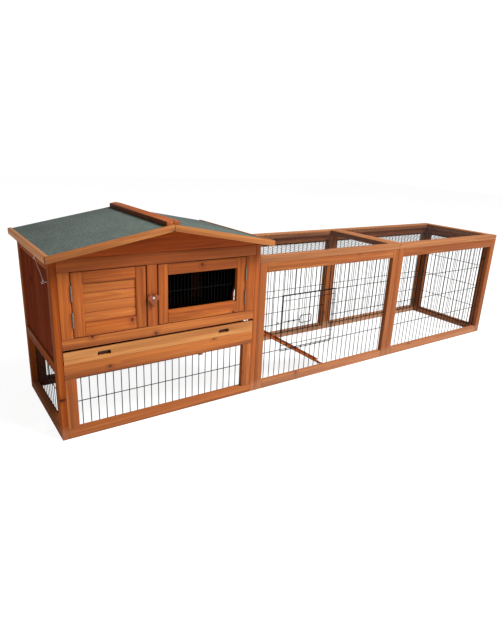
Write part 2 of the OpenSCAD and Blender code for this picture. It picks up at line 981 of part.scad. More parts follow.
// Lower eye: a ring in the path of the hook's tip, on a shank from the wall
module lower_eye(side, y, lean) {
    at_hook(side, y)
        rotate([-lean, 0, 0])
            translate([0, eye_reach, -hook_l]) {
                rotate([90, 0, 0])
                    ring(ring_r, hook_d);
                translate([-side * ring_r, 0, 0])
                    rotate([0, -side * 90, 0])
                        cylinder(d = hook_d, h = -hook_x - ring_r);
            }
}

module wall_screw_eyes() {
    color("silver") {
        lower_eye(-1, left_hook_y, left_hook_lean);
        lower_eye(1, right_hook_y, right_hook_lean);
    }
}

// Hook that hangs from its loop and ends in a tip bent to the back
module roof_hook(side, y, lean) {
    elbow = 4;
    at_hook(side, y)
        rotate([-lean, 0, 0]) {
            translate([0, 0, -ring_r])
                rotate([90, 0, 0])
                    ring(ring_r, hook_d);
            translate([0, 0, -hook_l + elbow])
                cylinder(d = hook_d, h = hook_l - elbow - 2 * ring_r);
            translate([0, elbow, -hook_l + elbow])
                rotate([90, 0, -90])
                    rotate_extrude(angle = 90, start = 270)
                        translate([elbow, 0])
                            circle(d = hook_d, $fn = 24);
            translate([0, elbow, -hook_l])
                rotate([-90, 0, 0])
                    cylinder(d = hook_d, h = hook_tip - elbow);
        }
}

module left_roof_hook() {
    color("silver")
        roof_hook(-1, left_hook_y, left_hook_lean);
}

module right_roof_hook() {
    color("silver")
        roof_hook(1, right_hook_y, right_hook_lean);
}

// Run

module run_side_frame(x) {
    rails = [
        [0, bottom_rail_h], [run_h - run_top_rail_h, run_top_rail_h]
    ];
    translate([x, 0, 0])
        wall_frame(run_l - seam, run_h, frame_t, stile_w, stile_w, rails);
}

function section_x(i) = hutch_w + seam + (i - 1) * run_l;

module run_side_mesh(i, hole = []) {
    translate([section_x(i) + stile_w, frame_t, bottom_rail_h])
        welded_mesh(run_open_w - seam, run_open_h, run_cross, first_wire, hole = hole);
}

module run_front_frame_1() {
    color("chocolate")
        run_side_frame(section_x(1));
}

module run_front_frame_2() {
    color("chocolate")
        run_side_frame(section_x(2));
}

module run_front_mesh_1() {
    hole = [
        door_first_wire, door_first_wire + door_cells, hole_bottom - bottom_rail_h, hole_top - bottom_rail_h
    ];
    color("dimgray")
        run_side_mesh(1, hole);
}

module run_front_mesh_2() {
    color("dimgray")
        run_side_mesh(2);
}

module run_back_frames() {
    color("chocolate")
        translate([0, hutch_d - frame_t, 0]) {
            run_side_frame(section_x(1));
            run_side_frame(section_x(2));
        }
}

module run_back_meshes() {
    color("dimgray")
        for (i = [1, 2])
            translate([0, hutch_d, 0])
                mirror([0, 1, 0])
                    run_side_mesh(i);
}

module run_end_frame() {
    rails = [
        [0, bottom_rail_h], [run_h - run_top_rail_h, run_top_rail_h]
    ];
    color("chocolate")
        translate([run_end, frame_t, 0])
            rotate([0, 0, 90])
                wall_frame(hutch_d - 2 * frame_t, run_h, frame_t, stile_w, stile_w, rails);
}

module run_end_mesh() {
    color("dimgray")
        translate([run_end - frame_t, frame_t + stile_w, bottom_rail_h])
            rotate([0, 0, 90])
                welded_mesh(end_open_w, run_open_h, run_cross);
}

module run_top_frame(i) {
    x = section_x(i);
    color("chocolate")
        translate([x, 0, run_h]) {
            stick([0, 0, 0], [run_l - seam, stile_w, run_top_t]);
            stick([0, hutch_d - stile_w, 0], [run_l - seam, stile_w, run_top_t]);
            for (rail_x = [0, run_l - seam - stile_w])
                stick([rail_x, stile_w + seam, 0], [stile_w, hutch_d - 2 * stile_w - 2 * seam, run_top_t]);
        }
}

module run_top_net(i) {
    color("dimgray")
        translate([section_x(i) + stile_w + seam, stile_w + seam, run_net_z])
            netting(run_net_w, run_net_d);
}

module run_top_frame_1() {
    run_top_frame(1);
}

module run_top_frame_2() {
    run_top_frame(2);
}

module run_top_net_1() {
    run_top_net(1);
}

module run_top_net_2() {
    run_top_net(2);
}

// Wire door

module wire_door() {
    up_y = wire_door_y - (door_frame_d + wire_d) / 2 * weld;
    color("dimgray") {
        for (x = [wire_door_left, wire_door_right])
            upright(
                x, wire_door_y, wire_door_bottom - door_frame_d / 2, wire_door_top + door_frame_d / 2,
                door_frame_d
            );
        for (z = [wire_door_bottom, wire_door_top])
            crosswire(wire_door_left, wire_door_right, wire_door_y, z, door_frame_d);
        for (z = [wire_door_bottom + door_inner_cross, wire_door_top - door_inner_cross])
            crosswire(wire_door_left, wire_door_right, wire_door_y, z, wire_d);
        for (i = [1:door_cells - 1])
            upright(
                hole_left + i * wire_pitch, up_y, wire_door_bottom - wire_d / 2, wire_door_top + wire_d / 2, wire_d
            );
        for (i = [1, 2])
            latch_guide(hole_left + i * wire_pitch, up_y);
    }
}

// Ring that carries the latch, welded to an upright wire of the door
module latch_guide(x, y) {
    translate([x, latch_y, latch_z])
        rotate([0, 90, 0])
            ring(guide_r, wire_d);
}

module wire_door_rings() {
    ring_x = (wire_door_right + hole_right) / 2;
    ring_y = (wire_door_y + frame_t + air / 2 + wire_d / 2) / 2;
    span = norm([wire_door_right - hole_right, frame_t + air / 2 + wire_d / 2 - wire_door_y]);
    ring_inner = span / 2 + door_frame_d / 2 + air;
    color("silver")
        for (z = [wire_door_bottom + ring_inset, wire_door_top - ring_inset])
            translate([ring_x, ring_y, z])
                ring(ring_inner + 1, 2);
}

// Ring that catches the latch's bolt, on a stem from the mesh beside the door hole
module latch_keeper() {
    stem = frame_t + air / 2 - latch_y - guide_r;
    color("dimgray")
        translate([hole_left - wire_pitch, latch_y, latch_z]) {
            rotate([0, 90, 0])
                ring(guide_r, wire_d);
            translate([0, guide_r, 0])
                rotate([-90, 0, 0])
                    cylinder(d = wire_d, h = stem);
        }
}

// Sliding latch: a bolt and a rounded handle, bent from one wire. At rest the bolt is drawn back.
module wire_door_latch() {
    tip_x = hole_left - 3;
    handle_x = hole_left + 2 * wire_pitch + latch_travel + latch_d;
    bend = 9;
    half = handle_h / 2;
    color("gray")
        translate([0, latch_y, latch_z]) {
            crosswire(tip_x, handle_x, 0, 0, latch_d);
            for (z = [-half, half])
                crosswire(handle_x + bend, handle_x + handle_l - bend, 0, z, latch_d);
            for (x = [handle_x, handle_x + handle_l])
                upright(x, 0, bend - half, half - bend, latch_d);
            latch_bend(handle_x + bend, half - bend, 180, bend);
            latch_bend(handle_x + handle_l - bend, half - bend, 270, bend);
            latch_bend(handle_x + handle_l - bend, bend - half, 0, bend);
            latch_bend(handle_x + bend, bend - half, 90, bend);
        }
}

module latch_bend(x, z, start, bend) {
    translate([x, 0, z])
        rotate([-90, 0, 0])
            rotate_extrude(angle = 90, start = start)
                translate([bend, 0])
                    circle(d = latch_d, $fn = 24);
}

// Ramp

module ramp() {
    color("sienna")
        translate([ramp_x, ramp_mid - ramp_w / 2, ramp_hinge_z])
            rotate([0, ramp_rest, 0]) {
                stick([pin_off + 3, 0, pin_off], [ramp_l - pin_off - 3, ramp_w, ramp_t]);
                for (i = [0:cleat_count - 1])
                    stick(
                        [
                            cleat_first + i * (ramp_l - cleat_first - cleat_last) / cleat_count, 0,
                            pin_off + ramp_t + seam
                        ],
                        [cleat_w, ramp_w, cleat_h]
                    );
            }
}

placed() left_side_frame();
placed() left_side_boards();
placed() left_side_mesh();
placed() right_side_frame();
placed() right_side_boards();
placed() back_frame();
placed() back_boards();
placed() back_mesh();
placed() front_posts();
placed() centre_stile();
placed() front_top_rail();
placed() front_mid_rail();
placed() lower_front_frame();
placed() lower_front_mesh();
placed() inner_divider();
placed() tray_runners();
placed() wall_screw_eyes();
placed() roof_hinge_lower_leaves();
placed() door_hinge_post_leaves();
placed() ramp_hinge_wall_leaves();
placed() turn_button_screw();
placed() run_front_frame_1();
placed() run_front_mesh_1();
placed() run_front_frame_2();
placed() run_front_mesh_2();
placed() run_back_frames();
placed() run_back_meshes();
placed() run_end_frame();
placed() run_end_mesh();
placed() run_top_frame_1();
placed() run_top_net_1();
placed() run_top_frame_2();
placed() run_top_net_2();
placed() wire_door_rings();
placed() latch_keeper();
placed() roof_decks();
placed() roof_felt();
placed() ridge_cap();
placed() front_barge_boards();
placed() rear_barge_boards();
placed() eave_fascias();
placed() gable_boards();
placed() roof_battens();
placed() roof_hinge_upper_leaves();
placed() roof_screw_eyes();
placed() left_roof_hook();
placed() right_roof_hook();
placed() left_door_frame();
placed() left_door_boards();
placed() left_door_hinge_leaves();
placed() right_door_frame();
placed() right_door_mesh();
placed() right_door_hinge_leaves();
placed() turn_button();
placed() tray_front();
placed() tray_pan();
placed() ramp();
placed() ramp_hinge_leaves();
placed() wire_door();
placed() wire_door_latch();
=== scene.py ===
import json
import math
import random

import bpy
from mathutils import Matrix, Vector


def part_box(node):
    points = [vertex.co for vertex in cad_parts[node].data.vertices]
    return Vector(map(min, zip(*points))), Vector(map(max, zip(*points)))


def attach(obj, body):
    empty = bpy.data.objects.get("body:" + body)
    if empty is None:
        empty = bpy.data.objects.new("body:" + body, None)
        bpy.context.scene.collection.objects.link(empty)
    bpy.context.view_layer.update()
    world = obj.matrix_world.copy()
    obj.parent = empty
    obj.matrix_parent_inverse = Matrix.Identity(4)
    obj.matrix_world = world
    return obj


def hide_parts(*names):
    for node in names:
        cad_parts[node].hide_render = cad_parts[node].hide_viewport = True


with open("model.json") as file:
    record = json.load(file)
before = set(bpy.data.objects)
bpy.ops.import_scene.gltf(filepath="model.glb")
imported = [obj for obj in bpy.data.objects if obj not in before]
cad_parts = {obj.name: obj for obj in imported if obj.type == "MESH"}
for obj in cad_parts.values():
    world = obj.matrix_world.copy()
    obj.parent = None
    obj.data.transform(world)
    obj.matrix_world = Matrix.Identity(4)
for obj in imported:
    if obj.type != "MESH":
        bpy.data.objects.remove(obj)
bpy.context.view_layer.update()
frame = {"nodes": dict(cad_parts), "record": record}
nodes = frame["nodes"]
bodyOf = {}
for body, members in frame["record"]["behaviour"]["bodies"].items():
    bodyOf.update(dict.fromkeys(members, body))
print("frame loaded:", len(nodes), "CAD pieces")

# The camera stands where the photographer's did, to the left of the hutch and above its roof.
photoCamera = {
    "place": (-1.7622, -2.0647, 1.1130),
    "right": (0.82791, -0.55899, 0.04527),
    "forward": (0.54174, 0.77615, -0.32283),
    "sensorHeight": 24,
    "lens": 18.913,
    "nearest": 0.05,
    "farthest": 60,
}


def setCamera(look):
    bpy.ops.object.camera_add()
    camera = bpy.context.object
    camera.name = "photoCamera"
    camera.data.sensor_fit = "VERTICAL"
    camera.data.sensor_height = look["sensorHeight"]
    camera.data.lens = look["lens"]
    camera.data.clip_start = look["nearest"]
    camera.data.clip_end = look["farthest"]
    back = -Vector(look["forward"]).normalized()
    up = back.cross(Vector(look["right"])).normalized()
    side = up.cross(back)
    turn = Matrix((side, up, back)).transposed().to_4x4()
    camera.matrix_world = Matrix.Translation(look["place"]) @ turn
    bpy.context.scene.camera = camera


setCamera(photoCamera)
print("camera set")


# Materials. An expression on the outputs of nodes adds the Math nodes that it needs.

class Strand:
    def __init__(self, tree, socket=None):
        self.tree = tree
        self.socket = socket

    def node(self, kind, settings=None, values=None, output=0):
        made = self.tree.nodes.new("ShaderNode" + kind)
        for key, setting in (settings or {}).items():
            setattr(made, key, setting)
        for key, value in (values or {}).items():
            if isinstance(value, Strand):
                self.tree.links.new(value.socket, made.inputs[key])
            else:
                made.inputs[key].default_value = value
        return Strand(self.tree, made.outputs[output])

    def maths(self, operation, *terms):
        return self.node("Math", {"operation": operation}, dict(enumerate(terms)))

    def __add__(self, other):
        return self.maths("ADD", self, other)

    def __sub__(self, other):
        return self.maths("SUBTRACT", self, other)

    def __rsub__(self, other):
        return self.maths("SUBTRACT", other, self)

    def __mul__(self, other):
        return self.maths("MULTIPLY", self, other)

    def __truediv__(self, other):
        return self.maths("DIVIDE", self, other)

    __radd__ = __add__
    __rmul__ = __mul__

    def step(self, low, high):
        # runs smoothly from 0 at low to 1 at high
        return self.node(
            "MapRange", {"interpolation_type": "SMOOTHSTEP"},
            {"Value": self, "From Min": low, "From Max": high, "To Min": 0.0, "To Max": 1.0},
        )

    def part(self, axis):
        return self.node("SeparateXYZ", None, {0: self}, axis)

    def stretch(self, scales):
        return self.node("VectorMath", {"operation": "MULTIPLY"}, {0: self, 1: scales})

    def noise(self, scale=1.0, detail=2.0, rough=0.5):
        values = {"Vector": self, "Scale": scale, "Detail": detail, "Roughness": rough}
        return self.node("TexNoise", None, values)

    def cells(self, scale, output="Distance"):
        return self.node("TexVoronoi", None, {"Vector": self, "Scale": scale}, output)

    def paint(self, shade):
        # an even colour, given as a screen shows it
        made = self.node("RGB")
        made.socket.default_value = screenColour(*shade)
        return made

    def tint(self, other, share):
        # this colour, with a share of the other one
        return self.node("Mix", {"data_type": "RGBA"}, {0: share, 6: self, 7: other}, 2)


def screenColour(red, green, blue):
    # a colour as a screen shows it, from 0 to 255, as Blender's linear one
    parts = [value / 255 for value in (red, green, blue)]
    return tuple(p / 12.92 if p < 0.04045 else ((p + 0.055) / 1.055) ** 2.4 for p in parts) + (1.0,)


def startMaterial(name):
    material = bpy.data.materials.new(name)
    material.use_nodes = True
    material.node_tree.nodes.clear()
    return material, Strand(material.node_tree)


def closeMaterial(start, settings, colour, roughness, height, bump):
    strength, depth = bump
    values = dict(settings)
    values["Base Color"] = colour
    values["Roughness"] = roughness
    values["Normal"] = start.node("Bump", None, {"Strength": strength, "Distance": depth, "Height": height})
    linkSurface(start, start.node("BsdfPrincipled", None, values))


def linkSurface(start, surface):
    output = start.tree.nodes.new("ShaderNodeOutputMaterial")
    start.tree.links.new(surface.socket, output.inputs["Surface"])


# Timber. Each stick carries three attributes: grain, its own coordinates in metres from the heart
# of the tree (along the stick, away from the heart, and across), tone, how dark it took the stain,
# and a third, which is 1 on its rounded edges and marks them for painted shade, as if shade fell in the
# grooves between sticks.

# How fir grows, the same in every stick. Stretches are repeats to the metre along, away and across.
firGrowth = {
    "knotsAlong": 4.2,
    "knotsAround": 1.3,
    "knotShift": 60.0,
    "knotScatter": 0.9,
    "knotEdge": (0.0045, 0.0066),
    "knotFade": 0.02,
    "haloEdge": (0.004, 0.030),
    "raggedScale": 160.0,
    "raggedDepth": 0.003,
    "wanderStretch": (1.5, 11.0, 11.0),
    "wanderDepth": 0.020,
    "rippleStretch": (7.0, 60.0, 60.0),
    "rippleDepth": 0.0022,
    "haloSwell": 0.009,
    "lateRise": (0.35, 0.92),
    "lateFall": (0.93, 1.0),
    "streakStretch": (1.6, 70.0, 70.0),
    "streakEdge": (0.34, 0.62),
    "bandStretch": (1.1, 30.0, 30.0),
    "bandEdge": (0.50, 0.66),
    "fibreStretch": (14.0, 520.0, 520.0),
    "fibreEdge": (0.52, 0.80),
    "cloudStretch": (3.0, 9.0, 9.0),
    "cloudFloor": 0.35,
    "fibreShare": 0.42,
    "haloShare": 0.55,
    "knotDepth": 0.88,
    # the heights in metres over which the painted floor-bounce light fades out
    "groundEdge": (0.025, 0.065),
    "fibreRoughness": 0.16,
    "knotRoughness": 0.10,
    "fibreHeight": 0.7,
    "lateHeight": 0.35,
    "knotHeight": 0.5,
    "bump": (0.34, 0.0005),
}

stainedFir = {
    "light": (190, 104, 44),
    "mid": (162, 80, 30),
    "dark": (118, 50, 17),
    "knot": (66, 26, 10),
    "ringWidth": 0.0032,
    "ringShare": 0.40,
    "knotShare": 0.90,
    "toneShare": 0.45,
    "bandShare": 0.55,
    # painted light: the paler colour close to the ground and its share, as if lit by light bounced from the
    # floor
    "ground": (206, 160, 128),
    "groundShare": 0.20,
    # painted shade on the rounded edges
    "rimShare": 0.55,
    "roughness": 0.52,
    "gloss": 0.22,
}


def makeTimber(name, look):
    grow = firGrowth
    material, start = startMaterial(name)
    grain = start.node("Attribute", {"attribute_name": "grain"}, output="Vector")
    tone = start.node("Attribute", {"attribute_name": "tone"}, output="Fac")
    rim = start.node("Attribute", {"attribute_name": "rim"}, output="Fac")
    along, away, across = grain.part("X"), grain.part("Y"), grain.part("Z")
    radius = start.maths("SQRT", away * away + across * across)
    angle = start.maths("ARCTAN2", across, away)

    # a knot is where a branch, running out from the heart, meets the surface
    spotX = along * grow["knotsAlong"] + tone * grow["knotShift"]
    spot = start.node("CombineXYZ", None, {0: spotX, 1: angle * grow["knotsAround"], 2: 0.0})
    flat = {"voronoi_dimensions": "2D"}
    scatter = {"Vector": spot, "Scale": 1.0, "Randomness": grow["knotScatter"]}
    nearest = start.node("TexVoronoi", flat, scatter, "Position")
    chance = start.node("TexVoronoi", flat, scatter, "Color")
    offset = start.node("VectorMath", {"operation": "SUBTRACT"}, {0: nearest, 1: spot})
    ahead = offset.part("X") / grow["knotsAlong"]
    aside = offset.part("Y") * radius / grow["knotsAround"]
    ragged = (grain.noise(grow["raggedScale"], 3.0) - 0.5) * grow["raggedDepth"]
    reach = start.maths("SQRT", ahead * ahead + aside * aside) + ragged
    present = chance.part("X").step(look["knotShare"], look["knotShare"] + grow["knotFade"])
    knot = (1.0 - reach.step(*grow["knotEdge"])) * present
    halo = (1.0 - reach.step(*grow["haloEdge"])) * present

    # rings wander and ripple, and swell round a knot
    wander = (grain.stretch(grow["wanderStretch"]).noise() - 0.5) * grow["wanderDepth"]
    ripple = (grain.stretch(grow["rippleStretch"]).noise() - 0.5) * grow["rippleDepth"]
    rings = (radius + wander + ripple + halo * grow["haloSwell"]) / look["ringWidth"]
    saw = start.maths("FRACT", rings)
    late = saw.step(*grow["lateRise"]) * (1.0 - saw.step(*grow["lateFall"]))

    streak = grain.stretch(grow["streakStretch"]).noise(1.0, 4.0, 0.62)
    band = grain.stretch(grow["bandStretch"]).noise(1.0, 3.0, 0.6)
    fibre = grain.stretch(grow["fibreStretch"]).noise(1.0, 3.0, 0.6)
    cloud = grain.stretch(grow["cloudStretch"]).noise()

    mid, dark, knotColour = (screenColour(*look[key]) for key in ("mid", "dark", "knot"))
    colour = start.paint(look["light"])
    colour = colour.tint(mid, streak.step(*grow["streakEdge"]))
    colour = colour.tint(dark, late * look["ringShare"] * (grow["cloudFloor"] + cloud))
    colour = colour.tint(dark, fibre.step(*grow["fibreEdge"]) * grow["fibreShare"])
    colour = colour.tint(dark, band.step(*grow["bandEdge"]) * look["bandShare"])
    colour = colour.tint(dark, tone * look["toneShare"])
    colour = colour.tint(dark, halo * grow["haloShare"])
    colour = colour.tint(knotColour, knot * grow["knotDepth"])
    # painted shade: the rounded edges are darkened towards the knot colour, as if shade fell in the grooves
    # between sticks
    colour = colour.tint(knotColour, rim * look["rimShare"])

    # painted light: the colour turns paler close to the ground, as if lit by light bounced from the floor
    level = start.node("TexCoord", output="Object").part("Z")
    worn = (1.0 - level.step(*grow["groundEdge"])) * look["groundShare"]
    colour = colour.tint(screenColour(*look["ground"]), worn)
    roughness = look["roughness"] + fibre * grow["fibreRoughness"] - knot * grow["knotRoughness"]
    height = fibre * grow["fibreHeight"] + late * grow["lateHeight"] + knot * grow["knotHeight"]
    closeMaterial(start, {"Specular IOR Level": look["gloss"]}, colour, roughness, height, grow["bump"])
    return material


# The finishes, as changes to stainedFir.
timberChanges = {
    "stainedFir": {},
    # painted shade: a darker, more saturated copy for the upper front, as if shaded by the roof's overhang
    "upperFir": {"light": (194, 107, 39), "mid": (164, 82, 27), "dark": (117, 50, 15), "knotShare": 0.86},
    # painted shade: a darker copy for the gable, as if shaded by the roof's overhang
    "gableFir": {"light": (180, 86, 24), "mid": (152, 65, 15), "dark": (108, 40, 8), "gloss": 0.1},
    # painted light: a paler copy for the lower front, as if lit by light bounced from the floor
    "lowerFir": {
        "light": (188, 111, 50), "mid": (160, 85, 35), "dark": (116, 54, 20),
        "groundShare": 0.03, "knotShare": 0.84,
    },
    "flankFir": {"gloss": 0.04},
    # painted light: a paler, less saturated copy for the run's frames, as if washed by light bounced from
    # the floor
    "runFir": {"light": (182, 110, 54), "mid": (154, 84, 37), "dark": (110, 52, 21)},
    # painted light: a paler copy for the run's back frames, much paler near the ground, as if lit by light
    # bounced from the floor
    "backFir": {"light": (184, 111, 55), "mid": (157, 86, 38), "dark": (111, 53, 22), "groundShare": 0.55},
    # painted sheen: a paler copy for the run's top frames, as if lit from above
    "topFir": {"light": (184, 124, 77), "mid": (160, 100, 59), "dark": (118, 67, 36), "toneShare": 0.3},
    "trimFir": {"light": (184, 120, 62), "mid": (162, 96, 47), "dark": (120, 63, 27), "toneShare": 0.3},
    # painted light: a near-white copy for the eave fascias, which face away from the light, so that they
    # read pale as if lit
    "eaveFir": {"light": (250, 188, 130), "mid": (236, 162, 106), "dark": (184, 112, 64), "toneShare": 0.2},
    # partly a deeper stain and partly painted shade: a darker, redder copy for the side and back boards
    "sideFir": {
        "light": (152, 74, 46), "mid": (126, 55, 35), "dark": (88, 36, 23),
        "toneShare": 0.25, "rimShare": 0.3, "gloss": 0.0,
    },
    # painted shade: a near-black copy for the faces inside the upper storey, as if they lay in shade
    "insideFir": {
        "light": (30, 18, 12), "mid": (22, 13, 9), "dark": (14, 8, 6),
        "toneShare": 0.3, "gloss": 0.1,
    },
    "doorFir": {
        "light": (192, 113, 51), "mid": (174, 95, 40), "dark": (136, 65, 24),
        "toneShare": 0.12, "bandShare": 0.3, "rimShare": 0.12, "knotShare": 0.99,
    },
    "honeyFir": {
        "light": (196, 138, 80), "mid": (182, 118, 62), "dark": (150, 88, 42),
        "toneShare": 0.1, "knotShare": 0.99,
    },
    "capFir": {"light": (182, 104, 54), "mid": (163, 86, 43), "dark": (124, 58, 28), "toneShare": 0.3},
    "heartFir": {"light": (164, 94, 58), "mid": (144, 76, 46), "dark": (102, 50, 28), "toneShare": 0.2},
    "plainFir": {"light": (200, 150, 92), "mid": (180, 126, 72), "dark": (132, 84, 42), "toneShare": 0.3},
}
timberMaterials = {}
for name, changes in timberChanges.items():
    timberMaterials[name] = makeTimber(name, {**stainedFir, **changes})
print("timber materials made:", len(timberMaterials))


def clearSelection():
    if bpy.context.object and bpy.context.object.mode != "OBJECT":
        bpy.ops.object.mode_set(mode="OBJECT")
    bpy.ops.object.select_all(action="DESELECT")


def takeUp(piece):
    # selects one piece alone and makes it the active one
    clearSelection()
    piece.select_set(True)
    bpy.context.view_layer.objects.active = piece


# Lengths in metres, angles in degrees
meshFinish = {
    "mergeBelow": 0.00002,
    "flatBelow": 0.5,
    "edgeSegments": 2,
    "edgeAngle": 30,
    "smoothBelow": 32,
    "wireSmoothBelow": 60,
}


def copyNode(node, name):
    # a new piece with its own copy of a CAD node's mesh, its doubles merged and its flat faces whole
    piece = bpy.data.objects.new(name, nodes[node].data.copy())
    bpy.context.scene.collection.objects.link(piece)
    piece.data.name = name
    piece.data.materials.clear()
    takeUp(piece)
    bpy.ops.object.mode_set(mode="EDIT")
    bpy.ops.mesh.select_all(action="SELECT")
    bpy.ops.mesh.remove_doubles(threshold=meshFinish["mergeBelow"])
    bpy.ops.mesh.dissolve_limited(angle_limit=math.radians(meshFinish["flatBelow"]))
    bpy.ops.mesh.select_all(action="DESELECT")
    bpy.ops.object.mode_set(mode="OBJECT")
    return piece


def roundEdges(piece, width):
    takeUp(piece)
    bevel = piece.modifiers.new("edges", "BEVEL")
    bevel.width = width
    bevel.segments = meshFinish["edgeSegments"]
    bevel.limit_method = "ANGLE"
    bevel.angle_limit = math.radians(meshFinish["edgeAngle"])
    bevel.use_clamp_overlap = True
    bpy.ops.object.modifier_apply(modifier=bevel.name)
    bpy.ops.object.shade_smooth_by_angle(angle=math.radians(meshFinish["smoothBelow"]))


def handOver(piece, node, slotName):
    # the piece stands in for the CAD node, and moves with its body
    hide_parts(node)
    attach(piece, bodyOf[node])


# How a stick is cut from its log, in metres, and how its faces are told apart
logCut = {
    "start": 60,
    "heart": (0.018, 0.050),
    "aside": 0.055,
    "depth": 0.012,
    "acrossStick": 0.2,
    "flatFace": 0.992,
    "sameLength": 0.000001,
    "cornerDigits": 4,
}


def islandsOf(mesh):
    # lists of the vertices that hang together, one list for each stick
    links = {v.index: [] for v in mesh.vertices}
    for edge in mesh.edges:
        a, b = edge.vertices
        links[a].append(b)
        links[b].append(a)
    left = set(links)
    while left:
        island = [left.pop()]
        for vertex in island:
            fresh = [other for other in links[vertex] if other in left]
            left.difference_update(fresh)
            island.extend(fresh)
        yield island


def stickAxes(mesh, island):
    # directions along the stick, through its thickness, and across its width
    members = set(island)
    longest = 0.0
    along = Vector((1, 0, 0))
    for edge in mesh.edges:
        if edge.vertices[0] in members:
            run = mesh.vertices[edge.vertices[1]].co - mesh.vertices[edge.vertices[0]].co
            if run.length > longest + logCut["sameLength"]:
                longest = run.length
                along = run.normalized()
    thick = None
    widest = 0.0
    for face in mesh.polygons:
        beside = face.vertices[0] in members and face.area > widest
        if beside and abs(face.normal.dot(along)) < logCut["acrossStick"]:
            thick = face.normal.copy()
            widest = face.area
    if thick is None:
        thick = along.orthogonal()
    thick = (thick - along * thick.dot(along)).normalized()
    return along, thick, along.cross(thick)


def edgeShadeShares(mesh, island, axes):
    # 1 on the crest of a rounded edge, which gets painted shade, 0 where a vertex borders a flat face
    share = {i: 1.0 for i in island}
    for face in mesh.polygons:
        if face.vertices[0] in share:
            if max(abs(face.normal.dot(axis)) for axis in axes) > logCut["flatFace"]:
                share.update(dict.fromkeys(face.vertices, 0.0))
    return share


def lowestCorner(mesh, members):
    digits = logCut["cornerDigits"]
    return min(tuple(round(c, digits) for c in mesh.vertices[i].co) for i in members)


def layGrain(piece, seed):
    # gives every stick its own cut from the log, its own depth of stain, and the edge marks that carry
    # painted shade
    rng = random.Random(seed)
    mesh = piece.data
    grain = [0.0] * (3 * len(mesh.vertices))
    tone = [0.0] * len(mesh.vertices)
    rim = [0.0] * len(mesh.vertices)
    for island in sorted(islandsOf(mesh), key=lambda members: lowestCorner(mesh, members)):
        along, thick, wide = stickAxes(mesh, island)
        centre = sum((mesh.vertices[i].co for i in island), Vector()) / len(island)
        start = rng.uniform(0, logCut["start"])
        heart = rng.uniform(*logCut["heart"])
        offset = rng.uniform(-logCut["aside"], logCut["aside"])
        flip = rng.choice((-1, 1))
        shade = rng.random()
        crest = edgeShadeShares(mesh, island, (along, thick, wide))
        for i in island:
            place = mesh.vertices[i].co - centre
            away = place.dot(thick) * flip + heart + logCut["depth"]
            grain[3 * i:3 * i + 3] = (place.dot(along) + start, away, place.dot(wide) + offset)
            tone[i] = shade
            rim[i] = crest[i]
    mesh.attributes.new("grain", "FLOAT_VECTOR", "POINT").data.foreach_set("vector", grain)
    mesh.attributes.new("tone", "FLOAT", "POINT").data.foreach_set("value", tone)
    mesh.attributes.new("rim", "FLOAT", "POINT").data.foreach_set("value", rim)


# The finish and the record's slot of each wooden node, and how far its edges are rounded, in metres
woodwork = {
    "left_side_frame": ("flankFir", "stained_wood", 0.0014),
    "left_side_boards": ("sideFir", "dark_wood", 0.0008),
    "right_side_frame": ("stainedFir", "stained_wood", 0.0014),
    "right_side_boards": ("sideFir", "dark_wood", 0.0008),
    "back_frame": ("stainedFir", "stained_wood", 0.0014),
    "back_boards": ("sideFir", "dark_wood", 0.0008),
    "front_posts": ("upperFir", "stained_wood", 0.0014),
    "centre_stile": ("upperFir", "stained_wood", 0.0014),
    "front_top_rail": ("upperFir", "stained_wood", 0.0014),
    "front_mid_rail": ("lowerFir", "stained_wood", 0.0014),
    "lower_front_frame": ("lowerFir", "stained_wood", 0.0014),
    # painted shade: the divider and tray runners inside the upper storey take the near-black copy
    "inner_divider": ("insideFir", "dark_wood", 0.0008),
    "tray_runners": ("insideFir", "dark_wood", 0.0010),
    "run_front_frame_1": ("runFir", "stained_wood", 0.0014),
    "run_front_frame_2": ("runFir", "stained_wood", 0.0014),
    "run_back_frames": ("backFir", "stained_wood", 0.0014),
    "run_end_frame": ("runFir", "stained_wood", 0.0014),
    "run_top_frame_1": ("topFir", "stained_wood", 0.0014),
    "run_top_frame_2": ("topFir", "stained_wood", 0.0014),
    "roof_decks": ("plainFir", "pale_wood", 0.0008),
    "ridge_cap": ("capFir", "stained_wood", 0.0020),
    "front_barge_boards": ("trimFir", "stained_wood", 0.0014),
    "rear_barge_boards": ("trimFir", "stained_wood", 0.0014),
    "eave_fascias": ("eaveFir", "stained_wood", 0.0014),
    "gable_boards": ("gableFir", "stained_wood", 0.0010),
    "roof_battens": ("plainFir", "pale_wood", 0.0012),
    "left_door_frame": ("upperFir", "stained_wood", 0.0016),
    "left_door_boards": ("doorFir", "stained_wood", 0.0006),
    "right_door_frame": ("upperFir", "stained_wood", 0.0016),
    "turn_button": ("heartFir", "dark_wood", 0.0022),
    "tray_front": ("honeyFir", "pale_wood", 0.0016),
    "ramp": ("stainedFir", "stained_wood", 0.0014),
}
firstSeed = 100


def camelName(node, ending):
    first, *others = node.split("_")
    return first + "".join(word.capitalize() for word in others) + ending


def dressTimber(node, finish, slotName, edge, seed):
    piece = copyNode(node, camelName(node, "Timber"))
    roundEdges(piece, edge)
    layGrain(piece, seed)
    piece.data.materials.append(timberMaterials[finish])
    handOver(piece, node, slotName)
    return piece


# Painted shade: the walls of the upper storey take a near-black finish on the inside, as if in shade, and
# these are the ways their inner faces look.
shadedInnerSides = {
    "left_side_boards": (1, 0, 0),
    "right_side_boards": (-1, 0, 0),
    "back_boards": (0, -1, 0),
}
facingShare = 0.7


# paints shade on the faces that look into the upper storey
def paintInsideShade(piece, facing):
    piece.data.materials.append(timberMaterials["insideFir"])
    for face in piece.data.polygons:
        if face.normal.dot(Vector(facing)) > facingShare:
            face.material_index = 1


